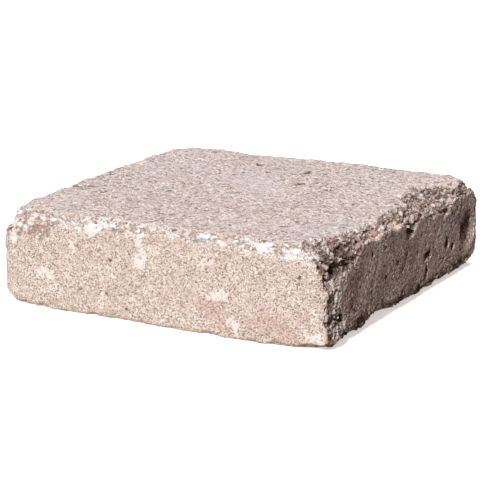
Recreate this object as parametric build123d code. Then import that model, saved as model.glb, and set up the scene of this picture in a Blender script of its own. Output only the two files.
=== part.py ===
from build123d import *

import os
from dataclasses import dataclass
from math import cos, pi, radians, sin

# Tumbled concrete paver, in millimetres: one square block of dry-cast concrete, cast in one piece.
# A drum has knocked off its sharp arrises: every rim is worn to an uneven bevel with small chips, and
# larger flakes are struck off the arrises and corners.
# Origin: centre of the bed face. +Z up through the wearing face, -Y out of the front side.

# Block as it leaves the mould
LENGTH = 175.0            # along X: a 7 in module less its joint
WIDTH = 175.0             # along Y
THICKNESS = 46.0

# Places round the block are counted in sides, against the clock as seen from above: 0 is the upright
# arris between the left and front sides, 1 front and right, 2 right and back, 3 back and left.
PLACES_ROUND = 4

# Worn rims, each as (place, millimetres) pairs with straight runs between them, starting at place 0
TOP_INSET_X = ((0, 7), (1, 12), (1.2, 12), (1.45, 9), (1.65, 13), (1.8, 11), (2, 5), (3, 5), (3.2, 1.5),
               (3.85, 1.5))
TOP_INSET_Y = ((0, 12), (0.2, 10), (0.6, 10), (1, 12), (2, 4), (2.5, 4), (2.7, 7.5), (3, 8))
TOP_DEPTH = ((0, 8), (0.2, 3.8), (0.9, 3.8), (1, 6), (1.2, 4), (1.8, 4), (2, 6), (2.4, 3), (3, 5), (3.2, 1.5),
             (3.85, 2.5))
BED_INSET_X = ((0, 4), (1, 8), (1.3, 7), (1.6, 5.5), (2, 5), (3, 6), (3.5, 5))
BED_INSET_Y = ((0, 4), (0.2, 2.2), (0.45, 1.6), (0.6, 1.2), (0.8, 1.2), (1, 5), (2, 5), (2.5, 5), (3, 6))
BED_DEPTH = ((0, 5), (0.2, 2), (0.45, 1.8), (0.8, 1.5), (1, 7), (1.3, 5), (2, 5), (3, 5))
WEAR_BANDS = 3            # bands that turn a worn rim from its side to its face

# Plan radii of the upright arrises, at the sides, from place 0 on; a face's rim is rounder
UPRIGHT_RADII = (4.0, 6.0, 1.5, 7.0)
RIM_RADIUS_MORE = 7.0     # how much larger these radii are on the rim of a face

# Unevenness round the block: waves as (number round the block, share of the size, phase in degrees)
RIM_UNEVENNESS = 1.6      # most that a face's rim wanders in or out
SIDE_UNEVENNESS = 0.7     # most that a side stands in from its mould face
TOP_WAVES = ((5, 0.35, 40), (9, 0.25, 200), (16, 0.22, 310), (27, 0.18, 95))
BED_WAVES = ((4, 0.30, 150), (11, 0.28, 20), (19, 0.24, 250), (29, 0.18, 175))
SIDE_WAVES = ((7, 0.40, 75), (13, 0.35, 300), (23, 0.25, 15))
POINTS_PER_SIDE = 29      # four for each of the shortest waves

half_length = LENGTH / 2
half_width = WIDTH / 2


@dataclass
class Flake:
    """A flake struck off the block: a shallow hollow, left by a large ball-shaped cutter.

    place is the point of the unworn block that the flake is nearest to, outward the way from there
    out of the block, across the hollow's width there and depth how far it bites in from that point.
    """

    place: tuple
    outward: tuple
    across: float
    depth: float

    def cutter(self):
        radius = self.across**2 / (8 * self.depth) + self.depth / 2
        outward = Vector(*self.outward).normalized()
        return Pos(Vector(*self.place) + outward * (radius - self.depth)) * Sphere(radius)


# Flakes on the arrises, each placed by its distance from the near corner, at +X -Y
RIGHT_SPALL_Y = 128.0     # shallow spall that runs in over the wearing face
RIGHT_BED_FLAKE_Y = 62.0
RIGHT_VOID_Y = 91.0       # hollow under the rim of the right side
FRONT_BED_FLAKE_X = 12.0
BACK_NOTCH_X = 127.0
BACK_NEAR_NOTCH_X = 102.0
BACK_BED_FLAKE_X = 60.0
LEFT_TOP_FLAKE_Y = 58.0
LEFT_BED_FLAKE_Y = 112.0

# Chips along the worn rims: depths below the worn surface, as (place, millimetres) pairs
TOP_CHIP_DEPTH = ((0, 1.8), (0.15, 1.0), (0.85, 1.1), (1, 2.2), (1.2, 1.8), (1.9, 2.2), (2.1, 0.8), (3.85, 0.7))
BED_CHIP_DEPTH = ((0, 1.0), (0.2, 0.6), (0.8, 0.6), (1, 1.8), (1.9, 1.6), (2.1, 1.0))
CHIP_SPACING = 19.0       # along a rim, on the average
CHIP_SHIFT = 0.3          # how far a chip may lie from its even place, as a share of the spacing
CHIP_LEAST_ACROSS = 6.0
CHIP_ACROSS_PER_DEPTH = 4.0
CHIP_WAVES = ((5, 0.6, 30), (13, 0.4, 200))

# Chips in the near upright arris, as (height, width, depth), on its right-hand flank
ARRIS_CHIPS = ((10.0, 15.0, 2.6), (22.0, 11.0, 1.8), (35.0, 18.0, 2.8))
ARRIS_CHIP_Y = 8.0        # from the near corner

# Dent in the right side, beside the far upright arris
DENT_Y = 162.0            # from the near corner
DENT_HEIGHT = 21.0        # above the bed face

# Sizes of the flakes and of the dent, as (across, depth)
RIGHT_SPALL = (66.0, 7.0)
RIGHT_BED_FLAKE = (52.0, 6.5)
RIGHT_VOID = (22.0, 5.0)
FRONT_BED_FLAKE = (36.0, 3.0)
BACK_NOTCH = (34.0, 6.5)
BACK_NEAR_NOTCH = (20.0, 5.5)
BACK_BED_FLAKE = (46.0, 6.5)
LEFT_TOP_FLAKE = (30.0, 2.5)
LEFT_BED_FLAKE = (38.0, 6.0)
FRONT_RIGHT_TOP_CORNER = (44.0, 8.0)
BACK_RIGHT_TOP_CORNER = (46.0, 9.0)
FRONT_LEFT_TOP_CORNER = (46.0, 9.0)
BACK_LEFT_TOP_CORNER = (46.0, 10.0)
FRONT_RIGHT_BED_CORNER = (60.0, 6.0)
BACK_RIGHT_BED_CORNER = (36.0, 7.5)
FRONT_LEFT_BED_CORNER = (30.0, 6.0)
BACK_LEFT_BED_CORNER = (38.0, 10.0)
DENT = (22.0, 2.8)

arris_flakes = [
    Flake((half_length, RIGHT_SPALL_Y - half_width, THICKNESS), (1, 0, 3), *RIGHT_SPALL),
    Flake((half_length, RIGHT_BED_FLAKE_Y - half_width, 0), (2, 0, -3), *RIGHT_BED_FLAKE),
    Flake((half_length, RIGHT_VOID_Y - half_width, THICKNESS), (3, 0, 1), *RIGHT_VOID),
    Flake((half_length - FRONT_BED_FLAKE_X, -half_width, 0), (1, -2, -5), *FRONT_BED_FLAKE),
    Flake((half_length - BACK_NOTCH_X, half_width, THICKNESS), (0, 1, 1), *BACK_NOTCH),
    Flake((half_length - BACK_NEAR_NOTCH_X, half_width, THICKNESS), (0, 2, 1), *BACK_NEAR_NOTCH),
    Flake((half_length - BACK_BED_FLAKE_X, half_width, 0), (0, 2, -3), *BACK_BED_FLAKE),
    Flake((-half_length, LEFT_TOP_FLAKE_Y - half_width, THICKNESS), (-1, 0, 1), *LEFT_TOP_FLAKE),
    Flake((-half_length, LEFT_BED_FLAKE_Y - half_width, 0), (-1, 0, -1), *LEFT_BED_FLAKE),
]
corner_flakes = [
    Flake((half_length, -half_width, THICKNESS), (4, -1, 2), *FRONT_RIGHT_TOP_CORNER),
    Flake((half_length, half_width, THICKNESS), (1, 3, 3), *BACK_RIGHT_TOP_CORNER),
    Flake((-half_length, -half_width, THICKNESS), (-2, -1, 3), *FRONT_LEFT_TOP_CORNER),
    Flake((-half_length, half_width, THICKNESS), (-2, 1, 2), *BACK_LEFT_TOP_CORNER),
    Flake((half_length, -half_width, 0), (1, -1, -3), *FRONT_RIGHT_BED_CORNER),
    Flake((half_length, half_width, 0), (1, 2, -2), *BACK_RIGHT_BED_CORNER),
    Flake((-half_length, -half_width, 0), (-2, -1, -2), *FRONT_LEFT_BED_CORNER),
    Flake((-half_length, half_width, 0), (-1, 1, -1), *BACK_LEFT_BED_CORNER),
]
arris_chips = [
    Flake((half_length, ARRIS_CHIP_Y - half_width, height), (3, -1, 0), across, depth)
    for height, across, depth in ARRIS_CHIPS
]
side_dent = Flake((half_length, DENT_Y - half_width, DENT_HEIGHT), (1, 0, 0), *DENT)


def worn(profile, place):
    """The value of a worn rim's profile at a place, on the straight run between its two pairs."""
    closed = [*profile, (PLACES_ROUND, profile[0][1])]
    run = next(i for i in range(len(profile)) if place <= closed[i + 1][0])
    (start, value), (end, next_value) = closed[run], closed[run + 1]
    return value + (next_value - value) * (place - start) / (end - start)


def unevenness(place, waves):
    """Sum of waves, each a whole number of times round the block, from -1 to 1."""
    turn = 2 * pi * place / PLACES_ROUND
    return sum(size * cos(turn * count + radians(phase)) for count, size, phase in waves)


def mould_point(place, radius_more):
    """Point of the block's plan at a place, and the way out there, turning round the arrises."""
    side = int(place) % PLACES_ROUND
    way = Vector(1, 0, 0).rotate(Axis.Z, 90 * side)
    out = Vector(0, -1, 0).rotate(Axis.Z, 90 * side)
    run, reach = (LENGTH, half_width) if side % 2 == 0 else (WIDTH, half_length)
    from_start = (place - int(place)) * run
    from_end = run - from_start
    at_start = from_start < from_end
    radius = UPRIGHT_RADII[side if at_start else (side + 1) % PLACES_ROUND] + radius_more
    from_arris = min(from_start, from_end)
    if from_arris >= radius:
        return way * (from_start - run / 2) + out * reach, out
    turned = 45 * (1 - from_arris / radius) * (-1 if at_start else 1)
    centre = way * ((run / 2 - radius) * (-1 if at_start else 1)) + out * (reach - radius)
    outward = out.rotate(Axis.Z, turned)
    return centre + outward * radius, outward


@dataclass
class Rim:
    """One worn rim of the block, a bevel that turns from the sides to the wearing face or the bed face.

    up is 1 where the rim's face looks up and -1 where it looks down. The insets, the depth and the
    chip depth are profiles, and waves are the rim's unevenness.
    """

    face_height: float
    up: int
    inset_x: tuple
    inset_y: tuple
    depth: tuple
    waves: tuple
    chip_depth: tuple

    def point(self, place, turn):
        """Point of the worn surface, and the way out there: turn is 0 on the face and 1 at the sides."""
        rim_share = 1 - sin(turn * pi / 2)
        drop = 1 - cos(turn * pi / 2)
        point, outward = mould_point(place, RIM_RADIUS_MORE * rim_share)
        x = point.X * (1 - rim_share * worn(self.inset_x, place) / half_length)
        y = point.Y * (1 - rim_share * worn(self.inset_y, place) / half_width)
        z = self.face_height - self.up * drop * worn(self.depth, place)
        side_wander = SIDE_UNEVENNESS * (1 + unevenness(place, SIDE_WAVES)) / 2
        rim_wander = RIM_UNEVENNESS * rim_share * unevenness(place, self.waves)
        return Vector(x, y, z) - outward * (side_wander + rim_wander), outward

    def outline(self, turn):
        """Closed uneven outline round the block, in four runs from arris to arris."""
        sides = []
        for side in range(PLACES_ROUND):
            places = [side + i / POINTS_PER_SIDE for i in range(POINTS_PER_SIDE + 1)]
            sides.append(Edge.make_spline([self.point(place, turn)[0] for place in places]))
        return Wire(sides)

    def chips(self):
        """Small chips all round, each struck half way round the bevel."""
        count = round(2 * (LENGTH + WIDTH) / CHIP_SPACING)
        chips = []
        for i in range(count):
            even = PLACES_ROUND * i / count
            shift = CHIP_SHIFT * unevenness(even, CHIP_WAVES)
            place = (even + PLACES_ROUND * shift / count) % PLACES_ROUND
            point, outward = self.point(place, 0.5)
            depth = worn(self.chip_depth, place) * (1 + shift)
            across = CHIP_LEAST_ACROSS + CHIP_ACROSS_PER_DEPTH * depth
            chips.append(Flake(tuple(point), (outward.X, outward.Y, self.up), across, depth))
        return chips


def worn_block(top_rim, bed_rim):
    """The block with its rims worn, lofted from the bed face up to the wearing face."""
    turns = [i / WEAR_BANDS for i in range(WEAR_BANDS + 1)]
    bed_levels = [bed_rim.outline(turn) for turn in turns]
    top_levels = [top_rim.outline(turn) for turn in reversed(turns)]
    return Solid.make_loft([*bed_levels, *top_levels], ruled=True)


def paver():
    """The worn block less the flakes and chips struck off it."""
    top_rim = Rim(THICKNESS, 1, TOP_INSET_X, TOP_INSET_Y, TOP_DEPTH, TOP_WAVES, TOP_CHIP_DEPTH)
    bed_rim = Rim(0, -1, BED_INSET_X, BED_INSET_Y, BED_DEPTH, BED_WAVES, BED_CHIP_DEPTH)
    struck_off = [*arris_flakes, *corner_flakes, *arris_chips, *top_rim.chips(), *bed_rim.chips(), side_dent]
    return worn_block(top_rim, bed_rim) - [flake.cutter() for flake in struck_off]


os.makedirs("parts", exist_ok=True)
export_step(paver(), "parts/paver.step")
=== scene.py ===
"""Tumbled concrete paver, dressed for rendering: one block of dry-cast concrete, cast in one piece.

Lengths are in millimetres in the fields of the classes and in metres in the meshes. The frame is the
block's own: +X along the front side, -Y out of the front side, +Z up through the wearing face, and
the origin in the middle of the bed face.
"""

import logging
import math
from dataclasses import dataclass, field
from enum import Enum, IntEnum
from itertools import product

import bpy
import numpy as np
from mathutils import Matrix, Vector

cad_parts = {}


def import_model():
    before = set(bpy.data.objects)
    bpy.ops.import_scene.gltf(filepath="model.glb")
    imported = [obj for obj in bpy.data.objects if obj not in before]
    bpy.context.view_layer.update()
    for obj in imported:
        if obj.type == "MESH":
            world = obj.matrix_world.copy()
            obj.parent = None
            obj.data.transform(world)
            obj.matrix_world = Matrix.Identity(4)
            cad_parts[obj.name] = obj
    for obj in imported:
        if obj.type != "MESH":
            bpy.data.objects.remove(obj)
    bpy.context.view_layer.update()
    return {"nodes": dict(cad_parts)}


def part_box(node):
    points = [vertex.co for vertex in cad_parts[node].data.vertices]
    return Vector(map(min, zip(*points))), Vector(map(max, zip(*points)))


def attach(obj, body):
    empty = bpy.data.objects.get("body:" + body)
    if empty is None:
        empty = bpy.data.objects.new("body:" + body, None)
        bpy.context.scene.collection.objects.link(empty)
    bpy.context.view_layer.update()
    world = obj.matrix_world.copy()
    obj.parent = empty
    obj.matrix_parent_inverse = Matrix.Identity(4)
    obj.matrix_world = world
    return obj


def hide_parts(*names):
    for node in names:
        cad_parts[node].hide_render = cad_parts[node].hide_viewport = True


MM = 0.001
LOG = logging.getLogger("paver")

# What spreads neighbouring cells and seeds far apart, and what then stirs the bits of their numbers.
CELL_STRIDES = (73856093, 19349663, 83492791)
SEED_STRIDE = 7919
STIRS = ((2654435761, 15), (2246822519, 13), (3266489917, 16))
# How far apart two vertices of the CAD node may lie to be one, in mm.
MERGE_WITHIN = 0.01
# Below this weight a vertex is left out of a displacement.
LEAST_WEIGHT = 0.004
# How far the mesh may stand above the CAD solid's wearing face, in mm.
MOST_PROUD = 0.4
# Share of a hole's depth at which the dirt and painted shade in it start to show, and at which they show in
# full.
HOLLOW_EDGE = (0.01, 0.25)
# Size of the waves in the patches' borders, in mm, and what sets their three directions apart.
WANDER_ACROSS = 4
WANDER_SEEDS = (1, 2, 6)
# How far behind its side a patch ends, and up to where it is whole, in mm.
PATCH_DEPTH = (9, 5)


class Side(Enum):
    """One of the block's six sides, with the way out of it."""

    FRONT = (0, -1, 0)
    BACK = (0, 1, 0)
    LEFT = (-1, 0, 0)
    RIGHT = (1, 0, 0)
    TOP = (0, 0, 1)
    BED = (0, 0, -1)

    def axes(self) -> tuple[int, ...]:
        """Indices of the two axes that lie in the side."""
        return tuple(i for i in range(3) if not self.value[i])


@dataclass(frozen=True)
class Block:
    """The block's box.

    Args:
        length: size along X, in mm.
        width: size along Y, in mm.
        thickness: size along Z, in mm.
    """

    length: float
    width: float
    thickness: float

    def depth_below(self, side: Side, points: np.ndarray) -> np.ndarray:
        """How far points lie behind the plane of a side.

        Args:
            side: the side.
            points: an array of points, in mm.

        Returns:
            One distance per point, in mm.
        """
        if side is Side.TOP:
            return self.thickness - points[:, 2]
        if side is Side.BED:
            return points[:, 2]
        half = self.length / 2 if side in (Side.LEFT, Side.RIGHT) else self.width / 2
        return half - points @ np.array(side.value, float)

    def place(self, side: Side, along: float, up: float) -> Vector:
        """The point of a side at two distances measured on it.

        Args:
            side: the side.
            along: X on the front, back, top and bed, and Y on the left and right, in mm.
            up: Z on the upright sides, and Y on the top and bed, in mm.

        Returns:
            The point, in mm.
        """
        if side in (Side.TOP, Side.BED):
            return Vector((along, up, self.thickness if side is Side.TOP else 0))
        if side in (Side.FRONT, Side.BACK):
            return Vector((along, side.value[1] * self.width / 2, up))
        return Vector((side.value[0] * self.length / 2, along, up))


@dataclass(frozen=True)
class WornArris:
    """A band of crumbled concrete along one arris, where the drum wore the skin off.

    Args:
        first: one of the two sides that meet there.
        second: the other side.
        on_first: how far the band reaches over the first side, as (distance along, reach) pairs in mm.
        on_second: the same on the second side.
        rough: how deep its relief is, with 1 for the front rim.
        grime_and_shade: how much dirt and painted shade darken its bare stones and the gaps between them,
            from 0 to 1.
    """

    first: Side
    second: Side
    on_first: tuple[tuple[float, float], ...]
    on_second: tuple[tuple[float, float], ...]
    rough: float = 1
    grime_and_shade: float = 0

    def axis(self) -> int:
        """Index of the axis that the arris runs along."""
        return next(i for i in range(3) if not self.first.value[i] and not self.second.value[i])

    def share(self, block: Block, points: np.ndarray) -> np.ndarray:
        """Where points stand across the band: 0 on the arris, 1 at the band's border, more beyond.

        Args:
            block: the block's box.
            points: an array of points, in mm.

        Returns:
            One share per point.
        """
        along = points[:, self.axis()]
        reach_first = np.interp(along, *zip(*self.on_first))
        reach_second = np.interp(along, *zip(*self.on_second))
        under_first = block.depth_below(self.first, points)
        under_second = block.depth_below(self.second, points)
        return np.maximum(under_first / reach_second, under_second / reach_first)


class Seed(IntEnum):
    """What sets one field of random numbers apart from another."""

    BANDS = 3
    SCARS = 4
    HOLES = 5
    STONES = 20
    GRIT = 50
    PITS = 80


class Draw(IntEnum):
    """What a grain's random numbers are for."""

    PIT_SIZE = 0
    PIT_THERE = 1
    IS_STONE = 5
    RISE = 6
    SHADE = 7
    IN_SCAR = 8


class Deposit(Enum):
    """What lies on the concrete or stains it, by the name of its vertex attribute."""

    LIME = "lime"
    IRON = "iron"
    SCUFF = "scuff"


@dataclass(frozen=True)
class Clouds:
    """A roughness drawn by Blender's cloud pattern.

    Args:
        across: the size of its lumps, in mm.
        height: from its lowest to its highest point, in mm.
        finer: how many times finer lumps are laid over the first ones.
    """

    across: float
    height: float
    finer: int


@dataclass(frozen=True)
class Patch:
    """A patch of a deposit on one side.

    Args:
        deposit: what it is.
        side: the side that it is on.
        along: where its middle is, as Block.place measures it, in mm.
        up: the same.
        long: its length, in mm.
        wide: its width, in mm.
        turn: angle of its length from the side's first axis, in degrees.
        strength: how much it covers, from 0 to 1.
    """

    deposit: Deposit
    side: Side
    along: float
    up: float
    long: float
    wide: float
    turn: float = 0
    strength: float = 1


@dataclass(frozen=True)
class Hole:
    """A hole in one side: an air void of the dry mix, or the bed of a stone that fell out.

    Args:
        side: the side that it is in.
        along: where its middle is, as Block.place measures it, in mm.
        up: the same.
        across: its width, in mm.
        deep: its depth, in mm, or less than nought for a lump that stands out.
        stretch: its height over its width.
    """

    side: Side
    along: float
    up: float
    across: float
    deep: float
    stretch: float = 1


def deselect_all() -> None:
    """Leaves nothing selected, in object mode."""
    bpy.ops.object.select_all(action="DESELECT")


def make_active(piece: bpy.types.Object) -> None:
    """Selects one object alone and makes it the active one.

    Args:
        piece: the object.
    """
    deselect_all()
    piece.select_set(True)
    bpy.context.view_layer.objects.active = piece


def apply_modifier(piece: bpy.types.Object, kind: str, **settings: object) -> None:
    """Adds a modifier to an object and applies it.

    Args:
        piece: the object.
        kind: the modifier's type.
        settings: the modifier's properties.
    """
    make_active(piece)
    modifier = piece.modifiers.new(kind.title(), kind)
    for name, value in settings.items():
        setattr(modifier, name, value)
    bpy.ops.object.modifier_apply(modifier=modifier.name)


def vertex_places(piece: bpy.types.Object) -> np.ndarray:
    """The places of an object's vertices.

    Args:
        piece: the object.

    Returns:
        An array of points, in mm.
    """
    places = np.empty(len(piece.data.vertices) * 3, np.float32)
    piece.data.vertices.foreach_get("co", places)
    return places.reshape(-1, 3).astype(float) / MM


def move_vertices(piece: bpy.types.Object, places: np.ndarray) -> None:
    """Puts an object's vertices at new places.

    Args:
        piece: the object.
        places: an array of points, in mm.
    """
    piece.data.vertices.foreach_set("co", (places * MM).astype(np.float32).ravel())
    piece.data.update()


def vertex_normals(piece: bpy.types.Object) -> np.ndarray:
    """The normals of an object's vertices.

    Args:
        piece: the object.

    Returns:
        One row per vertex.
    """
    normals = np.empty(len(piece.data.vertices) * 3, np.float32)
    piece.data.vertex_normals.foreach_get("vector", normals)
    return normals.reshape(-1, 3).astype(float)


def hashed(cells: np.ndarray, seed: int) -> np.ndarray:
    """Random numbers that belong to the cells of a grid.

    Args:
        cells: an array of whole numbers, three for each cell.
        seed: sets one draw apart from another.

    Returns:
        One number per cell, from -1 to 1.
    """
    strides = np.array(CELL_STRIDES, np.int64)
    mixed = ((cells.astype(np.int64) @ strides) + SEED_STRIDE * seed).astype(np.uint64)
    for factor, shift in STIRS:
        mixed = mixed * np.uint64(factor) & np.uint64(0xFFFFFFFF)
        mixed ^= mixed >> np.uint64(shift)
    return mixed.astype(float) / 2**31 - 1


def lumps(points: np.ndarray, across: float, seed: int) -> np.ndarray:
    """Smooth noise with lumps of a given size.

    Args:
        points: an array of points, in mm.
        across: the size of the lumps, in mm.
        seed: sets one noise apart from another.

    Returns:
        One value per point, mostly from -0.7 to 0.7.
    """
    scaled = points / across
    cells = np.floor(scaled)
    part = scaled - cells
    part = part * part * (3 - 2 * part)
    total = np.zeros(len(points))
    for corner in product((0, 1), repeat=3):
        weight = np.prod(np.where(corner, part, 1 - part), axis=1)
        total += weight * hashed(cells + corner, seed)
    return total


@dataclass
class Grains:
    """Which grain of a packed mass each of some points lies in.

    Args:
        across: the grains' mean size, in mm.
        seed: sets one mass apart from another.
        points: an array of points, in mm.
        shift: the most that a grain's middle lies off the middle of its cell, as a share of the size.
        cell: each point's grain, as three whole numbers.
        spot: the middle of that grain, in mm.
        inside: how far the point lies inside it, in mm.
    """

    across: float
    seed: int
    points: np.ndarray
    shift: float = 0.42
    cell: np.ndarray = field(init=False)
    spot: np.ndarray = field(init=False)
    inside: np.ndarray = field(init=False)

    def __post_init__(self) -> None:
        """Finds each point's grain."""
        scaled = self.points / self.across
        base = np.floor(scaled)
        nearest = np.full(len(scaled), np.inf)
        second = np.full(len(scaled), np.inf)
        self.cell = base.copy()
        self.spot = scaled.copy()
        for step in product((-1, 0, 1), repeat=3):
            cell = base + step
            jitter = np.stack([hashed(cell, self.seed + axis) for axis in range(3)], axis=1)
            spot = cell + 0.5 + self.shift * jitter
            away = np.linalg.norm(scaled - spot, axis=1)
            closer = away < nearest
            second = np.where(closer, nearest, np.minimum(second, away))
            nearest = np.where(closer, away, nearest)
            self.cell[closer] = cell[closer]
            self.spot[closer] = spot[closer]
        self.spot *= self.across
        self.inside = (second - nearest) * self.across / 2

    def draw(self, number: int) -> np.ndarray:
        """A random number from -1 to 1 for each point's grain."""
        return hashed(self.cell, self.seed + 10 + number)

    def facets(self, tilt: float) -> np.ndarray:
        """Heights of the broken faces that the grains turn outwards, each flat and tilted its own way.

        Args:
            tilt: the steepest slope.

        Returns:
            One height per point, in mm, around nought.
        """
        slope = np.stack([self.draw(number) for number in range(3)], axis=1) * tilt
        return np.sum((self.points - self.spot) * slope, axis=1)


def ramp(value: np.ndarray, at_nought: float, at_one: float) -> np.ndarray:
    """Smooth step from 0 where value is at_nought to 1 where it is at_one."""
    share = np.clip((value - at_nought) / (at_one - at_nought), 0, 1)
    return share * share * (3 - 2 * share)


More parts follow.
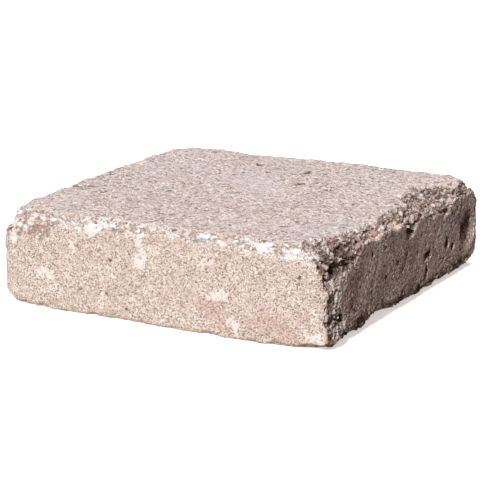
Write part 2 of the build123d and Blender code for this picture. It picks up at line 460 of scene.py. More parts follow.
@dataclass
class CastBlock:
    """The block itself: the CAD solid with its crumbled arrises, bare stones, holes and sandy skin.

    Args:
        node: the CAD node that it stands for.
        voxel: size of the voxels that the mesh is remade with, in mm.
        most_triangles: how many triangles the finished mesh may have.
        stone: mean size of the large stones, in mm.
        grit: mean size of the small ones, in mm.
        stone_share: share of the large grains that are one stone and not grit.
        stone_bare: how surely a stone's middle lies in a band for the stone to be bare.
        grit_bare: the same for the grit.
        scar_spread: how far that limit is drawn at random for grains in a scar.
        stone_rise: the most that a stone stands above or below its band, in mm.
        grit_rise: the same for the grit.
        stone_tilt: the steepest slope of a stone's broken face.
        grit_tilt: the same for the grit.
        proud: the most that a grain may stand above the band's level, in mm.
        gap: how far inside a grain the gap round it is deepest and where it ends, in mm.
        gap_depth: how deep the gaps are, in mm.
        recess: how far the crumbled bands lie below the skin, in mm.
        skin: how deep the skin goes; a scar deeper than that below the mould's faces shows bare stone.
        scar_edge: where a scar starts to show and where it is all bare, as shares of the skin.
        scar_rough: how deep the scars' relief is, as WornArris counts it.
        band_edge: where a crumbled band ends and where it is whole, as shares of its reach.
        ragged: how far the borders of bands and scars wander, as a share.
        ragged_across: the size of their waves, in mm.
        swell: the unevenness of the skin.
        knocks: the unevenness of the rims, where the drum knocked the block.
        knocked_reach: how far from an arris the knocks end and where they are full, in mm.
        sandy: the roughness of the skin.
        fine_share: how much of that roughness the fine front side has.
        fine_reach: how far behind the front side the skin starts to turn coarse and is coarse, in mm.
        hole_reach: how far above or below its side a hole may be felt, in mm.
        hole_edge: where a hole starts and where it is at its deepest, as shares of its radius.
        hole_ragged: how far a hole's border wanders, as a share.
        hole_wave: the size of its waves, as a share of the hole's width.
        pit_spacing: how far apart the small pits lie, in mm.
        pit_radius: the radius of the largest of them, in mm.
        pit_depth: how deep they are, in mm.
        pit_floor: radius of a pit's flat floor, as a share of the pit's.
        pit_share: a pit's draw has to be over this, from -1 to 1, for it to be there.
        patch_edge: where a patch ends and where it is whole, as shares of its radius.
        patch_wander: how far the patches' borders wander, in mm.
        arrises: the crumbled bands.
        holes: the holes and pits.
        patches: what stains the skin or lies on it.
    """

    node: str
    voxel: float = 0.5
    most_triangles: int = 194_000
    stone: float = 3.6
    grit: float = 1.7
    stone_share: float = 0.38
    stone_bare: float = 0.45
    grit_bare: float = 0.5
    scar_spread: float = 0.4
    stone_rise: float = 0.45
    grit_rise: float = 0.5
    stone_tilt: float = 0.42
    grit_tilt: float = 0.6
    proud: float = 0.35
    gap: tuple[float, float] = (0.05, 0.45)
    gap_depth: float = 0.75
    recess: float = 0.4
    skin: float = 1.9
    scar_edge: tuple[float, float] = (0.6, 1.4)
    scar_rough: float = 0.8
    band_edge: tuple[float, float] = (1.15, 0.8)
    ragged: float = 0.3
    ragged_across: float = 9
    swell: Clouds = Clouds(14, 0.7, 1)
    knocks: Clouds = Clouds(4, 1.5, 2)
    knocked_reach: tuple[float, float] = (9, 3)
    sandy: Clouds = Clouds(2.2, 0.34, 2)
    fine_share: float = 0.3
    fine_reach: tuple[float, float] = (1.5, 5)
    hole_reach: float = 6
    hole_edge: tuple[float, float] = (1.1, 0.4)
    hole_ragged: float = 0.5
    hole_wave: float = 0.45
    pit_spacing: float = 4.8
    pit_radius: float = 1.6
    pit_depth: float = 0.7
    pit_floor: float = 0.4
    pit_share: float = -0.6
    patch_edge: tuple[float, float] = (1.35, 0.7)
    patch_wander: float = 3
    arrises: tuple[WornArris, ...] = (
        WornArris(
            Side.FRONT,
            Side.TOP,
            ((-88, 9), (-80, 13), (-62, 12), (-55, 3.5), (-30, 4.2), (0, 2.6), (40, 3.6), (80, 4.2), (88, 4)),
            ((-88, 12), (-60, 10), (0, 9.5), (60, 10.5), (88, 12)),
        ),
        WornArris(
            Side.RIGHT,
            Side.TOP,
            (
                (-88, 3), (-84, 14), (-75, 14), (-62, 9), (-50, 4), (-30, 2.5), (-8, 3), (2, 9), (10, 8),
                (20, 5), (30, 9), (48, 10), (60, 6), (75, 7), (88, 4),
            ),
            (
                (-88, 3), (-80, 14), (-66, 18), (-45, 13), (-22, 9), (6, 9), (21, 14), (34, 20), (47, 24),
                (56, 14), (66, 7), (88, 4),
            ),
            rough=1.6,
            # Dirt and painted shade darken this band's stones and gaps.
            grime_and_shade=0.45,
        ),
        WornArris(
            Side.RIGHT,
            Side.FRONT,
            ((0, 8), (12, 17), (25, 12), (38, 16), (46, 20)),
            ((0, 4), (5, 3), (14, 1.5), (46, 1.5)),
            rough=1.1,
        ),
        WornArris(
            Side.RIGHT,
            Side.BED,
            ((-88, 2), (-76, 3), (-66, 6), (-50, 7), (-40, 6), (88, 6)),
            ((-88, 2), (-76, 5), (88, 7)),
            # Dirt and painted shade darken this band's stones and gaps.
            grime_and_shade=0.4,
        ),
    )
    holes: tuple[Hole, ...] = (
        Hole(Side.RIGHT, -82.5, 5, 18, -2.6, 1.1),
        Hole(Side.FRONT, 82, 4, 15, -1.2),
        Hole(Side.RIGHT, -72.5, 12.6, 5, 1.8),
        Hole(Side.RIGHT, -65, 43, 7, 3.5),
        Hole(Side.RIGHT, 4, 35.5, 9, 3.6, 0.55),
        Hole(Side.RIGHT, 24.6, 19.5, 6, 2.4, 0.7),
        Hole(Side.RIGHT, 47.8, 19.3, 5.6, 2.6),
        Hole(Side.RIGHT, 55, 16.4, 4, 1.9, 0.8),
        Hole(Side.RIGHT, 23.4, 10.8, 3.2, 1.8, 2.4),
        Hole(Side.RIGHT, -11.6, 23.9, 2.4, 1.2),
        Hole(Side.RIGHT, 0, 25.5, 2.2, 1.1),
        Hole(Side.RIGHT, 72, 21, 9, 1.6, 0.9),
        Hole(Side.RIGHT, -77, 37, 8, 1.6, 0.8),
        Hole(Side.RIGHT, -66, 38, 6, 1.8, 1.3),
        Hole(Side.TOP, -74.8, -26.5, 8, 1.9, 0.55),
        Hole(Side.TOP, -81, -30, 5, 1.6, 0.7),
        Hole(Side.TOP, -63.5, -32.8, 3.8, 1.3),
        Hole(Side.TOP, -71.6, 2.2, 5, 1.4, 0.8),
        Hole(Side.TOP, -81, 1, 3.6, 1.3),
        Hole(Side.TOP, -5.4, -2.8, 5, 1.9, 0.8),
        Hole(Side.TOP, -24, 57.9, 4.6, 1.5),
        Hole(Side.TOP, 6.5, 53.5, 3.6, 1.5, 2.2),
        Hole(Side.TOP, -12.3, 45.4, 3.6, 1.3),
        Hole(Side.TOP, 14.6, 28.5, 4, 1.6, 2),
        Hole(Side.TOP, 32.8, 23.5, 3.4, 1.2),
        Hole(Side.TOP, 41.5, 1.6, 3.4, 1.2),
        Hole(Side.TOP, 67.8, -20.3, 3.8, 1.4),
        Hole(Side.TOP, 25.9, -31.5, 3.2, 1.1),
        Hole(Side.TOP, 46.5, -51.5, 3.4, 1.2),
        Hole(Side.TOP, -9.8, -56.5, 3.2, 1.1),
        Hole(Side.FRONT, -26, 28.3, 2, 1.0),
        Hole(Side.FRONT, 73.4, 33.9, 2, 1.0),
        Hole(Side.FRONT, -28, 12, 2.2, 0.8, 0.6),
        Hole(Side.FRONT, -17, 6, 2, 0.8, 0.7),
    )
    patches: tuple[Patch, ...] = (
        Patch(Deposit.LIME, Side.FRONT, -35.4, 43.5, 9, 8),
        Patch(Deposit.LIME, Side.FRONT, 51, 44.8, 15, 4, -3),
        Patch(Deposit.LIME, Side.FRONT, 72, 43.8, 17, 4, -4),
        Patch(Deposit.LIME, Side.FRONT, 4, 45, 14, 3, 0, 0.7),
        Patch(Deposit.LIME, Side.FRONT, -65.4, 17.6, 5, 5),
        Patch(Deposit.LIME, Side.FRONT, -59, 15, 7, 4, -20),
        Patch(Deposit.LIME, Side.FRONT, -46.6, 32, 2.6, 8, 4, 1.0),
        Patch(Deposit.LIME, Side.FRONT, -31, 25.5, 5, 2, -15, 0.6),
        Patch(Deposit.LIME, Side.FRONT, -26, 22.5, 3, 3, 0, 0.7),
        Patch(Deposit.LIME, Side.FRONT, -8.5, 34, 6, 17, 6, 0.8),
        Patch(Deposit.LIME, Side.FRONT, 26.5, 33, 9, 5, 0, 0.8),
        Patch(Deposit.LIME, Side.FRONT, 32.8, 20, 14, 6.5, 14, 1.0),
        Patch(Deposit.LIME, Side.FRONT, 40, 6, 13, 4.5, -50, 0.7),
        Patch(Deposit.LIME, Side.FRONT, -81, 36, 5, 10, 0, 1.0),
        Patch(Deposit.LIME, Side.FRONT, 78.4, 5.8, 9, 7, 30, 0.5),
        Patch(Deposit.LIME, Side.FRONT, 81.5, 16, 6, 9, 0, 0.45),
        Patch(Deposit.LIME, Side.RIGHT, -22, 24, 4, 9, -30, 0.3),
        Patch(Deposit.LIME, Side.RIGHT, -28, 15, 2.5, 14, -6, 0.3),
        Patch(Deposit.LIME, Side.RIGHT, 27, 32.6, 3, 3, 0, 0.5),
        Patch(Deposit.LIME, Side.RIGHT, 66, 19.5, 3, 5, 0, 0.5),
        Patch(Deposit.IRON, Side.FRONT, -71, 41, 22, 16, 0, 0.75),
        Patch(Deposit.IRON, Side.FRONT, 31, 11, 18, 7, -20, 0.8),
        Patch(Deposit.IRON, Side.FRONT, 58, 9, 24, 11, 0, 0.6),
        Patch(Deposit.IRON, Side.FRONT, 5, 42, 20, 6, 0, 0.4),
        Patch(Deposit.IRON, Side.TOP, 14.6, 28.5, 9, 7, 0, 0.7),
        Patch(Deposit.IRON, Side.TOP, -71.6, 2.2, 8, 6, 0, 0.7),
        Patch(Deposit.IRON, Side.TOP, -72, -82, 16, 12, 0, 0.9),
        Patch(Deposit.IRON, Side.TOP, 76, 30, 12, 20, 0, 0.4),
        Patch(Deposit.SCUFF, Side.TOP, -10, 20, 60, 22, -40, 0.7),
        Patch(Deposit.SCUFF, Side.TOP, 60, -50, 40, 16, 30, 0.6),
        Patch(Deposit.SCUFF, Side.TOP, -60, 30, 40, 20, 0, 0.5),
    )

    def block(self) -> Block:
        """The box of the CAD node, in mm."""
        low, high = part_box(self.node)
        return Block(*((high - low) / MM))

    def copy_solid(self, source: bpy.types.Object) -> bpy.types.Object:
        """A merged copy of the CAD node's mesh.

        Args:
            source: the CAD node's object.

        Returns:
            The copy, riding on nothing yet.
        """
        piece = bpy.data.objects.new("cast_block", source.data.copy())
        bpy.context.scene.collection.objects.link(piece)
        piece.data.materials.clear()
        make_active(piece)
        bpy.ops.object.mode_set(mode="EDIT")
        bpy.ops.mesh.select_all(action="SELECT")
        bpy.ops.mesh.remove_doubles(threshold=MERGE_WITHIN * MM)
        bpy.ops.object.mode_set(mode="OBJECT")
        return piece

    def scarred(self, points: np.ndarray) -> np.ndarray:
        """How surely points lie in a scar that is deeper than the skin.

        Args:
            points: an array of points, in mm.

        Returns:
            One share per point, from 0 to 1.
        """
        box = self.block()
        lost = np.min([box.depth_below(side, points) for side in Side], axis=0)
        ragged = 1 + self.ragged * lumps(points, self.ragged_across, Seed.SCARS)
        return ramp(lost / ragged, *(share * self.skin for share in self.scar_edge))

    def banded(self, points: np.ndarray) -> tuple[np.ndarray, np.ndarray, np.ndarray]:
        """How surely points lie in one of the crumbled bands, how rough it is there, and how much dirt and
        painted shade it gets.

        Args:
            points: an array of points, in mm.

        Returns:
            One share per point, from 0 to 1, one roughness and one share of dirt and painted shade.
        """
        box = self.block()
        ragged = 1 + self.ragged * lumps(points, self.ragged_across, Seed.BANDS)
        shares = [ramp(arris.share(box, points) * ragged, *self.band_edge) for arris in self.arrises]
        roughs = [share * arris.rough for share, arris in zip(shares, self.arrises)]
        dirt_and_shade_shares = [share * arris.grime_and_shade for share, arris in zip(shares, self.arrises)]
        return np.max(shares, axis=0), np.max(roughs, axis=0), np.max(dirt_and_shade_shares, axis=0)

    def knocked(self, points: np.ndarray) -> np.ndarray:
        """How near to an arris points lie, where the drum knocked the block.

        Args:
            points: an array of points, in mm.

        Returns:
            One share per point, 1 on an arris and 0 on the faces.
        """
        box = self.block()
        depths = np.sort([box.depth_below(side, points) for side in Side], axis=0)
        return ramp(depths[1], *self.knocked_reach)

    def displace(self, piece: bpy.types.Object, weights: np.ndarray, clouds: Clouds) -> None:
        """Roughens a piece with Blender's cloud pattern.

        Args:
            piece: the piece.
            weights: how much of the pattern each vertex gets, from 0 to 1.
            clouds: the pattern.
        """
        group = piece.vertex_groups.new(name="rough")
        for i in np.flatnonzero(weights > LEAST_WEIGHT).tolist():
            group.add([i], float(weights[i]), "REPLACE")
        pattern = bpy.data.textures.new("pattern", "CLOUDS")
        pattern.noise_scale = clouds.across * MM
        pattern.noise_depth = clouds.finer
        apply_modifier(
            piece,
            "DISPLACE",
            texture=pattern,
            texture_coords="LOCAL",
            strength=clouds.height * MM,
            mid_level=0.5,
            vertex_group=group.name,
        )
        piece.vertex_groups.remove(piece.vertex_groups["rough"])

    def aggregate(self, points: np.ndarray) -> dict[str, np.ndarray]:
        """The crushed stone and grit that the worn bands lay bare.

        Whether a point is bare is asked of the middle of its grain, so the skin breaks off round whole
        grains and its edge is as angular as they are.

        Args:
            points: an array of points, in mm.

        Returns:
            By name, for each point: bare, which is 1 where the skin is gone; height above the band's
            own level, in mm; shade, which sets one grain's colour apart from another's; crevice, which
            is 1 deep between two grains, where the material lays dirt and painted shade; and
            grime_and_shade, the dirt and painted shade of the bands, as WornArris counts it.
        """
        large, small = Grains(self.stone, Seed.STONES, points), Grains(self.grit, Seed.GRIT, points)
        scar = self.scarred(points)
        in_large = scar > 0.5 + self.scar_spread * large.draw(Draw.IN_SCAR)
        in_large |= self.banded(large.spot)[0] > self.stone_bare
        in_large &= large.draw(Draw.IS_STONE) * 0.5 + 0.5 < self.stone_share
        in_small = scar > 0.5 + self.scar_spread * small.draw(Draw.IN_SCAR)
        in_small |= self.banded(small.spot)[0] > self.grit_bare
        _, rough, grime_and_shade = self.banded(points)
        rough = np.maximum(rough, self.scar_rough * scar)
        of_large = self.stone_rise * large.draw(Draw.RISE) + large.facets(self.stone_tilt)
        of_small = self.grit_rise * small.draw(Draw.RISE) + small.facets(self.grit_tilt)
        crevice = 1 - ramp(np.where(in_large, large.inside, small.inside), *self.gap)
        height = np.minimum(np.where(in_large, of_large, of_small), self.proud) - self.gap_depth * crevice
        bare = (in_large | in_small).astype(float)
        shade = np.where(in_large, large.draw(Draw.SHADE), small.draw(Draw.SHADE)) * 0.5 + 0.5
        return {
            "bare": bare,
            "height": height * bare * rough,
            "shade": shade,
            "crevice": crevice * bare,
            "grime_and_shade": grime_and_shade * bare,
        }

    def holed(self, hole: Hole, points: np.ndarray) -> np.ndarray:
        """How deep in a hole points lie.

        Args:
            hole: the hole.
            points: an array of points, in mm.

        Returns:
            One share of the hole's depth per point, from 0 to 1.
        """
        out = np.array(hole.side.value, float)
        away = points - np.array(self.block().place(hole.side, hole.along, hole.up))
        close = np.abs(away @ out) < self.hole_reach
        away -= np.outer(away @ out, out)
        away[:, hole.side.axes()[1]] /= hole.stretch
        share = np.linalg.norm(away, axis=1) / (hole.across / 2)
        ragged = share * (1 + self.hole_ragged * lumps(points, hole.across * self.hole_wave, Seed.HOLES))
        return ramp(ragged, *self.hole_edge) * close

    def coarse(self, points: np.ndarray) -> np.ndarray:
        """How coarse the skin is at some points, from 0 on the fine front side to 1 elsewhere."""
        return ramp(self.block().depth_below(Side.FRONT, points), *self.fine_reach)

    def pitted(self, points: np.ndarray) -> np.ndarray:
        """How deep points lie in the small pits that the dry mix leaves all over the skin, from 0 to 1.

        Args:
            points: an array of points, in mm.

        Returns:
            One share of the pits' depth per point.
        """
        # The radii run from a fifth of the largest up to it, and are smaller on the fine front side.
        voids = Grains(self.pit_spacing, Seed.PITS, points)
        radius = self.pit_radius * (0.6 + 0.4 * voids.draw(Draw.PIT_SIZE)) * (0.4 + 0.6 * self.coarse(points))
        away = np.linalg.norm(points - voids.spot, axis=1)
        return ramp(away, radius, radius * self.pit_floor) * (voids.draw(Draw.PIT_THERE) > self.pit_share)

    def bore_holes(self, piece: bpy.types.Object) -> None:
        """Pushes the surface in at each hole and pit.

        Args:
            piece: the piece.
        """
        places = vertex_places(piece)
        moved = places - vertex_normals(piece) * (self.pit_depth * self.pitted(places))[:, None]
        for hole in self.holes:
            middle = np.array(self.block().place(hole.side, hole.along, hole.up))
            reach = max(hole.across * hole.stretch, self.hole_reach)
            near = np.flatnonzero(np.max(np.abs(places - middle), axis=1) < reach)
            depth = hole.deep * self.holed(hole, places[near])
            moved[near] -= np.outer(depth, np.array(hole.side.value, float))
        move_vertices(piece, moved)

    def build(self, source: bpy.types.Object) -> bpy.types.Object:
        """Builds the block's mesh and its vertex attributes.

        Args:
            source: the CAD node's object.

        Returns:
            The block.
        """
        piece = self.copy_solid(source)
        apply_modifier(piece, "REMESH", mode="VOXEL", voxel_size=self.voxel * MM)
        places = vertex_places(piece)
        LOG.info("block remeshed: %d vertices", len(places))
        found = self.aggregate(places)
        height = found["height"] - self.recess * found["bare"]
        move_vertices(piece, places + vertex_normals(piece) * height[:, None])
        self.displace(piece, 1 - found["bare"], self.swell)
        self.displace(piece, self.knocked(places), self.knocks)
        self.displace(piece, self.fine_share + (1 - self.fine_share) * self.coarse(places), self.sandy)
        self.bore_holes(piece)
        apply_modifier(piece, "TRIANGULATE")
        ratio = self.most_triangles / len(piece.data.polygons)
        if ratio < 1:
            apply_modifier(piece, "DECIMATE", ratio=ratio)
        self.rest_flat(piece)
        make_active(piece)
        bpy.ops.object.shade_smooth()
        self.mark(piece)
        LOG.info("block finished: %d triangles", len(piece.data.polygons))
        return piece

    def rest_flat(self, piece: bpy.types.Object) -> None:
        """Keeps the mesh off the floor and near the CAD solid's height, so that it rests as that does.

        Args:
            piece: the block.
        """
        places = vertex_places(piece)
        places[:, 2] = np.clip(places[:, 2], 0, self.block().thickness + MOST_PROUD)
        move_vertices(piece, places)

    def mark(self, piece: bpy.types.Object) -> None:
        """Stores what each vertex shows, for the material to read.

        Args:
            piece: the block.
        """
        places = vertex_places(piece)
        found = self.aggregate(places)
        for name in ("bare", "shade", "crevice", "grime_and_shade"):
            self.store(piece, name, found[name])
        self.store(piece, "coarse", self.coarse(places))
        # The hollow mask lets the material lay dirt and painted shade in the holes and pits.
        hollows = [self.holed(hole, places) for hole in self.holes if hole.deep > 0]
        hollow = np.maximum(np.max(hollows, axis=0), self.pitted(places))
        self.store(piece, "hollow", ramp(hollow, *HOLLOW_EDGE))
        wander = np.stack([lumps(places, WANDER_ACROSS, seed) for seed in WANDER_SEEDS], axis=1)
        wandered = places + self.patch_wander * wander
        for deposit in Deposit:
            patches = [patch for patch in self.patches if patch.deposit is deposit]
            covers = [self.covered(patch, places, wandered) for patch in patches]
            self.store(piece, deposit.value, np.max(covers, axis=0))

    def covered(self, patch: Patch, places: np.ndarray, wandered: np.ndarray) -> np.ndarray:
        """How much of a patch lies on each of some points.

        Args:
            patch: the patch.
            places: the points, in mm.
            wandered: the same points moved by a few mm of noise, which makes the border ragged.

        Returns:
            One cover per point, from 0 to 1.
        """
        box = self.block()
        away = wandered - np.array(box.place(patch.side, patch.along, patch.up))
        first, second = (away[:, axis] for axis in patch.side.axes())
        turn = math.radians(patch.turn)
        lengthwise = first * math.cos(turn) + second * math.sin(turn)
        crosswise = second * math.cos(turn) - first * math.sin(turn)
        share = np.hypot(lengthwise / (patch.long / 2), crosswise / (patch.wide / 2))
        near_side = ramp(box.depth_below(patch.side, places), *PATCH_DEPTH)
        return patch.strength * near_side * ramp(share, *self.patch_edge)

    def store(self, piece: bpy.types.Object, name: str, values: np.ndarray) -> None:
        """Stores one number per vertex under a name."""
        attribute = piece.data.attributes.new(name, "FLOAT", "POINT")
        attribute.data.foreach_set("value", values.astype(np.float32))


def linear(colour: str) -> tuple[float, float, float, float]:
    """Turns an sRGB colour to a linear one.

    Args:
        colour: the colour as six hex digits after a hash.

    Returns:
        Red, green, blue and an alpha of 1.
    """
    parts = [int(colour[i : i + 2], 16) / 255 for i in (1, 3, 5)]
    return tuple(c / 12.92 if c <= 0.04045 else ((c + 0.055) / 1.055) ** 2.4 for c in parts) + (1.0,)


def add_node(
    tree: bpy.types.NodeTree, kind: str, inputs: dict[str | int, object] | None = None, **settings: object
) -> bpy.types.Node:
    """Adds a node to a tree.

    Args:
        tree: the node tree.
        kind: the node's type name.
        inputs: what goes into its sockets, by name or number: a value, a socket to link, or a node whose
            first output is linked.
        settings: the node's properties.

    Returns:
        The node.
    """
    node = tree.nodes.new(kind)
    for name, value in settings.items():
        setattr(node, name, value)
    for key, value in (inputs or {}).items():
        source = value.outputs[0] if isinstance(value, bpy.types.Node) else value
        if isinstance(source, bpy.types.NodeSocket):
            tree.links.new(source, node.inputs[key])
        else:
            node.inputs[key].default_value = source
    return node


@dataclass(frozen=True)
class DryCastConcrete:
    """Dry-cast concrete, vibrated in a mould and tumbled: a matt skin of sand in pinkish cement.

    To the eye it is a buff ground with sand grains lighter and darker than it, pinholes, and paler
    crushed stone with gaps where the skin is gone, darkened by dirt and painted shade like the pinholes
    and holes. The real sand, of 0.1 to 0.5 mm, is too fine to show, so its grains and the pinholes are
    drawn coarser.

    A pair of numbers called a cover or a relief gives the least and the most that its pattern has: on the
    fine front side and on the coarser others, or else where its doc says.

    Args:
        cement: colour of the cement.
        cement_pale: its colour where more lime has come to the surface.
        grains: colours of the sand, from the darkest grain to the lightest, with where each starts.
        stones: the same for the crushed stone.
        dirt: colour of the dirt and painted shade laid deep in the gaps, pinholes, holes and pits.
        weather: colour of the drifts of fine dirt on the skin, and of the dirt and painted shade on the grimy
            bands.
        rust: colour of the iron stains.
        scuff: colour of the greyer swaths that other blocks rubbed.
        lime: colour of the lime that has bloomed on the skin.
        sand: size of the sand grains, in mm.
        grit: size of the coarser ones among them, in mm.
        pore_spacing: how far apart the pinholes lie, in mm.
        speckle: size of the flecks that break up stains and lime, in mm.
        drift: size of the drifts of dirt, in mm.
        blotch: size of the paler blotches, in mm.
        sand_cover: how much of the sand's colour shows over the cement's.
        grit_cover: the same for the grit.
        pore_cover: how many of the pinholes show.
        pore_radius: a pinhole's radius over their spacing, from the least draw to the most, and there is
            none where it is less than nought.
        pore_rim: width of a pinhole's rim over their spacing.
        blotch_edge: where the noise turns from plain to paler cement.
        drift_edge: where it turns from clean to dirty.
        fleck_edge: where it turns from clean to stained.
        lime_flecks: how far the flecks thin out or fill up a lime patch.
        lime_edge: where a patch so thinned starts and where it is whole.
        lime_cover: how much lime hides, from the darkest grain to the lightest.
        gap_dirt_and_shade: how much dirt and painted shade darken the gaps between stones, from clean bands
            to grimy ones.
        weathering: how much of the weather's colour a drift has.
        bareness: how much of a stone's colour shows where the skin is gone.
        staining: how much of the rust's colour a stain has.
        scuffing: how much of the scuff's colour a swath has.
        pore_dirt_and_shade: how much dirt and painted shade darken a pinhole.
        hollow_dirt_and_shade: how much dirt and painted shade darken a hole or pit.
        dome: height of a grain's middle, as a share of its size.
        grit_relief: how high the grit stands over the sand.
        lump_relief: how high the flecks stand.
        relief: what a height of one in the bump pattern is, in mm.
        roughness: the shader's own, for a matt mineral face.
        specular: how much it shines, low because dust lies on it.
    """

    cement: str = "#CDB8AB"
    cement_pale: str = "#D9CABF"
    grains: tuple[tuple[float, str], ...] = (
        (0.0, "#43342D"),
        (0.16, "#8F796C"),
        (0.3, "#CBB5A8"),
        (0.7, "#E2D2C8"),
        (0.86, "#FFFAF4"),
        (1.0, "#FFFFFF"),
    )
    stones: tuple[tuple[float, str], ...] = (
        (0.0, "#AC8472"),
        (0.12, "#D6B8AA"),
        (0.35, "#EBDBD0"),
        (0.55, "#F6ECE4"),
        (0.75, "#FFFBF4"),
        (1.0, "#FFFFFC"),
    )
    # Dirt and painted shade: the colour that darkens the gaps, pinholes, holes and pits.
    dirt: str = "#55402F"
    weather: str = "#9A7F72"
    rust: str = "#B98570"
    scuff: str = "#D8D1D0"
    lime: str = "#F3EEE9"
    sand: float = 0.56
    grit: float = 1.232
    pore_spacing: float = 1.7857
    speckle: float = 1.6667
    drift: float = 6.6667
    blotch: float = 11.111
    sand_cover: tuple[float, float] = (0.78, 0.9)
    grit_cover: tuple[float, float] = (0.03, 0.53)
    pore_cover: tuple[float, float] = (0.25, 1.0)
    pore_radius: tuple[float, float] = (-0.84, 0.36)
    pore_rim: float = 0.1
    blotch_edge: tuple[float, float] = (0.35, 0.65)
    drift_edge: tuple[float, float] = (0.62, 0.38)
    fleck_edge: tuple[float, float] = (0.3, 0.7)
    lime_flecks: tuple[float, float] = (-1.2, 1.2)
    lime_edge: tuple[float, float] = (0.37, 0.62)
    lime_cover: tuple[float, float] = (0.52, 0.92)
    gap_dirt_and_shade: tuple[float, float] = (0.62, 1.32)
    weathering: float = 0.2
    bareness: float = 0.88
    staining: float = 0.7
    scuffing: float = 0.4
    pore_dirt_and_shade: float = 0.7
    hollow_dirt_and_shade: float = 0.82
    dome: float = 0.75
    grit_relief: tuple[float, float] = (0.4, 2.0)
    lump_relief: tuple[float, float] = (0.3, 1.5)
    relief: float = 0.5
    roughness: float = 0.95
    specular: float = 0.2

    def material(self) -> bpy.types.Material:
        """Builds the material.

        Returns:
            The material.
        """
        material = bpy.data.materials.new("dry_cast_concrete_tumbled")
        material.use_nodes = True
        tree = material.node_tree
        tree.nodes.clear()
        found = self.patterns(tree)
        self.mingle(tree, found)
        bump = add_node(
            tree,
            "ShaderNodeBump",
            {"Height": self.height(tree, found), "Strength": 1.0, "Distance": self.relief * MM},
        )
        surface = add_node(
            tree,
            "ShaderNodeBsdfPrincipled",
            {
                "Base Color": self.colour(tree, found),
                "Roughness": self.roughness,
                "Specular IOR Level": self.specular,
                "Normal": bump,
            },
        )
        add_node(tree, "ShaderNodeOutputMaterial", {"Surface": surface})
        return material

    def patterns(self, tree: bpy.types.NodeTree) -> dict[str, object]:
        """Reads the mesh's attributes and draws the cells and noises.

        Args:
            tree: the material's node tree.

        Returns:
            The values by name. Of each pattern of cells it holds the distance from a cell's middle, and a
            random number from 0 to 1 for each cell.
        """
        where = add_node(tree, "ShaderNodeTexCoord").outputs["Object"]
        found = {
            name: add_node(tree, "ShaderNodeAttribute", attribute_name=name).outputs["Fac"]
            for name in ("bare", "shade", "crevice", "grime_and_shade", "hollow", "coarse", "lime", "iron", "scuff")
        }
        for name, across in (("sand", self.sand), ("grit", self.grit), ("pore", self.pore_spacing)):
            cells = add_node(tree, "ShaderNodeTexVoronoi", {"Vector": where, "Scale": 1 / (across * MM)})
            split = add_node(tree, "ShaderNodeSeparateColor", {0: cells.outputs["Color"]})
            found[name + " away"] = cells.outputs["Distance"]
            found[name + " draw"] = split.outputs["Red"]
        noises = (("blotches", self.blotch, 4), ("speckle", self.speckle, 3), ("drifts", self.drift, 5))
        for name, across, detail in noises:
            inputs = {"Vector": where, "Scale": 1 / (across * MM), "Detail": detail}
            found[name] = add_node(tree, "ShaderNodeTexNoise", inputs).outputs["Fac"]
        return found

    def mingle(self, tree: bpy.types.NodeTree, found: dict[str, object]) -> None:
        """Works out from the patterns how much of each layer and relief shows, and adds it to them.

        Args:
            tree: the material's node tree.
            found: the values by name.
        """
        runs = (
            ("sand cover", "coarse", self.sand_cover),
            ("grit cover", "coarse", self.grit_cover),
            ("pore cover", "coarse", self.pore_cover),
            ("grit relief", "coarse", self.grit_relief),
            ("lump relief", "coarse", self.lump_relief),
            ("gap dirt and shade", "grime_and_shade", self.gap_dirt_and_shade),
            ("pore radius", "pore draw", self.pore_radius),
            ("lime flecks", "speckle", self.lime_flecks),
            ("lime cover", "sand draw", self.lime_cover),
        )
        for name, driver, (least, most) in runs:
            inputs = {0: found[driver], 1: most - least, 2: least}
            found[name] = add_node(tree, "ShaderNodeMath", inputs, operation="MULTIPLY_ADD")
        sums = (
            ("flecked lime", "ADD", "lime flecks", "lime"),
            ("in pore", "SUBTRACT", "pore radius", "pore away"),
        )
        for name, operation, first, second in sums:
            inputs = {0: found[first], 1: found[second]}
            found[name] = add_node(tree, "ShaderNodeMath", inputs, operation=operation)
        steps = (
            ("pale", "blotches", self.blotch_edge),
            ("weathered", "drifts", self.drift_edge),
            ("stained", "speckle", self.fleck_edge),
            ("limed", "flecked lime", self.lime_edge),
            ("pore core", "in pore", (0, self.pore_rim)),
        )
        for name, driver, (at_nought, at_one) in steps:
            inputs = {"Value": found[driver], "From Min": at_nought, "From Max": at_one}
            found[name] = add_node(tree, "ShaderNodeMapRange", inputs, interpolation_type="SMOOTHSTEP")
        for name, first, second in (("pore", "pore core", "pore cover"), ("rust", "iron", "stained")):
            inputs = {0: found[first], 1: found[second]}
            found[name] = add_node(tree, "ShaderNodeMath", inputs, operation="MULTIPLY")

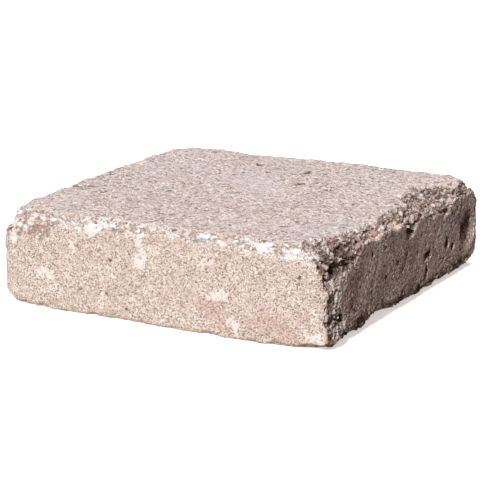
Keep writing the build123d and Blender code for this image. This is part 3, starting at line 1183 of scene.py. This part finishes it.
    def colour(self, tree: bpy.types.NodeTree, found: dict[str, object]) -> bpy.types.NodeSocket:
        """Lays one coloured layer after another on the cement, from its own blotches to the dirt in holes.

        Args:
            tree: the material's node tree.
            found: the values by name.

        Returns:
            The colour.
        """
        ranges = {}
        for name, driver, stops in (
            ("sand", "sand draw", self.grains),
            ("grit", "grit draw", self.grains),
            ("stone", "shade", self.stones),
        ):
            node = add_node(tree, "ShaderNodeValToRGB", {"Fac": found[driver]})
            elements = node.color_ramp.elements
            elements[0].position, elements[1].position = stops[0][0], stops[-1][0]
            elements[0].color, elements[1].color = linear(stops[0][1]), linear(stops[-1][1])
            for place, stop in stops[1:-1]:
                elements.new(place).color = linear(stop)
            ranges[name] = node.outputs["Color"]
        layers = (
            (found["pale"], 1, linear(self.cement_pale)),
            (found["sand cover"], 1, ranges["sand"]),
            (found["grit cover"], 1, ranges["grit"]),
            (found["weathered"], self.weathering, linear(self.weather)),
            (found["bare"], self.bareness, ranges["stone"]),
            # Dirt and painted shade on the bare stones of the grimy bands, in the weather's colour.
            (found["grime_and_shade"], 1, linear(self.weather)),
            (found["rust"], self.staining, linear(self.rust)),
            (found["scuff"], self.scuffing, linear(self.scuff)),
            # Dirt and painted shade in the gaps between bare stones, stronger in the grimy bands.
            (found["crevice"], found["gap dirt and shade"], linear(self.dirt)),
            (found["limed"], found["lime cover"], linear(self.lime)),
            # Dirt and painted shade in the pinholes.
            (found["pore"], self.pore_dirt_and_shade, linear(self.dirt)),
            # Dirt and painted shade in the holes and pits.
            (found["hollow"], self.hollow_dirt_and_shade, linear(self.dirt)),
        )
        colour = linear(self.cement)
        for cover, strength, coat in layers:
            share = add_node(tree, "ShaderNodeMath", {0: cover, 1: strength}, operation="MULTIPLY")
            inputs = {0: share, 6: colour, 7: coat}
            colour = add_node(tree, "ShaderNodeMix", inputs, data_type="RGBA").outputs[2]
        return colour

    def height(self, tree: bpy.types.NodeTree, found: dict[str, object]) -> bpy.types.Node:
        """The fine relief: a dome for each grain, taller for coarse ones, pinholes and flecks.

        Args:
            tree: the material's node tree.
            found: the values by name.

        Returns:
            The node that gives the height.
        """
        steps = (
            ("sand dome", "SUBTRACT", (self.dome, found["sand away"])),
            ("grit dome", "SUBTRACT", (self.dome, found["grit away"])),
            ("sand height", "MULTIPLY", ("sand dome", found["sand draw"])),
            ("grit share", "POWER", (found["grit draw"], 2)),
            ("grit height", "MULTIPLY", ("grit dome", "grit share")),
            ("grains", "MULTIPLY_ADD", ("grit height", found["grit relief"], "sand height")),
            ("pitted", "SUBTRACT", ("grains", found["pore"])),
            ("height", "MULTIPLY_ADD", (found["speckle"], found["lump relief"], "pitted")),
        )
        made = {}
        for name, operation, values in steps:
            inputs = {i: made[value] if isinstance(value, str) else value for i, value in enumerate(values)}
            made[name] = add_node(tree, "ShaderNodeMath", inputs, operation=operation)
        return made["height"]


@dataclass(frozen=True)
class Lamp:
    """A soft light far enough off to fall evenly on the block and the floor.

    Args:
        name: what it is called.
        towards: the way from the block to it.
        spread: how wide it looks from the block, in degrees.
        power: how strong it is, in W per square metre.
        colour: its colour as sRGB hex.
    """

    name: str
    towards: tuple[float, float, float]
    spread: float
    power: float
    colour: str

    def build(self) -> None:
        """Adds the light."""
        lamp = bpy.data.lights.new(self.name, "SUN")
        lamp.angle = math.radians(self.spread)
        lamp.energy = self.power
        lamp.color = linear(self.colour)[:3]
        light = bpy.data.objects.new(self.name, lamp)
        light.rotation_euler = Vector(self.towards).to_track_quat("Z", "Y").to_euler()
        bpy.context.scene.collection.objects.link(light)


@dataclass
class Studio:
    """Pale floor, white surroundings, a soft key light, two fills and the glow off the floor.

    Args:
        azimuth: where the camera stands, from the front side towards the right side, in degrees.
        elevation: how far above the horizon it stands, in degrees.
        distance: from the point that it looks at, in mm.
        aim_across: how far that point lies to the right of the block's middle, as the camera sees it.
        aim_height: how far that point lies above the floor, in mm.
        lens: focal length, in mm.
        sensor: width of the sensor, in mm.
        lamps: the lights.
        floor_size: length of the floor's sides, in m.
        floor_colour: its colour.
        floor_glow: how much it glows by itself, which keeps the block's shadow on it faint.
    """

    azimuth: float = 28.781
    elevation: float = 14.806
    distance: float = 960.778
    aim_across: float = -3.859
    aim_height: float = 21.496
    lens: float = 144.414
    sensor: float = 36
    lamps: tuple[Lamp, ...] = (
        Lamp("key", (0.1, -0.86, 0.5), 8, 3.7, "#FFFDFC"),
        Lamp("overhead", (-0.3, 0.1, 1), 50, 2.3, "#EAF1FF"),
        Lamp("side_fill", (0.6, 0.2, 0.7), 30, 0.53, "#FFC5B6"),
        Lamp("floor_glow", (-0.2, -0.7, -0.7), 40, 1.3, "#FFEADC"),
    )
    floor_size: float = 30
    floor_colour: str = "#F7F7F7"
    floor_glow: float = 0.5

    def camera(self) -> None:
        """Puts the camera where the photograph was taken from."""
        a, e = math.radians(self.azimuth), math.radians(self.elevation)
        back = Vector((math.sin(a) * math.cos(e), -math.cos(a) * math.cos(e), math.sin(e)))
        right = Vector((math.cos(a), math.sin(a), 0))
        up = back.cross(right)
        aim = right * self.aim_across + Vector((0, 0, self.aim_height))
        camera = bpy.data.objects.new("camera", bpy.data.cameras.new("camera"))
        camera.data.sensor_fit = "HORIZONTAL"
        camera.data.sensor_width = self.sensor
        camera.data.lens = self.lens
        camera.data.clip_start = 0.01
        turned = Matrix((right, up, back)).transposed().to_4x4()
        camera.matrix_world = Matrix.Translation((aim + back * self.distance) * MM) @ turned
        bpy.context.scene.collection.objects.link(camera)
        bpy.context.scene.camera = camera

    def floor(self) -> bpy.types.Object:
        """The pale floor. What it would throw back at the block comes from a lamp of its own under it.

        Returns:
            The floor.
        """
        deselect_all()
        bpy.ops.mesh.primitive_plane_add(size=self.floor_size)
        floor = bpy.context.active_object
        floor.name = "floor"
        floor.visible_diffuse = False
        floor.visible_shadow = False
        material = bpy.data.materials.new("studio_floor_matt")
        material.use_nodes = True
        shader = material.node_tree.nodes["Principled BSDF"]
        shader.inputs["Base Color"].default_value = linear(self.floor_colour)
        shader.inputs["Roughness"].default_value = 1.0
        shader.inputs["Specular IOR Level"].default_value = 0.0
        shader.inputs["Emission Color"].default_value = (1, 1, 1, 1)
        shader.inputs["Emission Strength"].default_value = self.floor_glow
        floor.data.materials.append(material)
        return floor

    def build(self) -> None:
        """Sets up the camera, the lights, the floor and the white surroundings that the camera alone sees."""
        self.camera()
        for lamp in self.lamps:
            lamp.build()
        self.floor()
        world = bpy.data.worlds.new("surroundings")
        world.use_nodes = True
        world.node_tree.nodes["Background"].inputs["Color"].default_value = (1, 1, 1, 1)
        world.cycles_visibility.diffuse = False
        world.cycles_visibility.glossy = False
        bpy.context.scene.world = world
        bpy.context.scene.view_settings.view_transform = "Standard"


def main() -> None:
    """Loads the CAD frame, builds the dressed block round it and sets up the studio."""
    logging.basicConfig(level=logging.INFO, format="%(message)s")
    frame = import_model()
    Studio().build()
    cast = CastBlock("paver")
    block = cast.build(frame["nodes"][cast.node])
    block.data.materials.append(DryCastConcrete().material())
    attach(block, "root")
    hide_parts(cast.node)


if __name__ == "__main__":
    main()
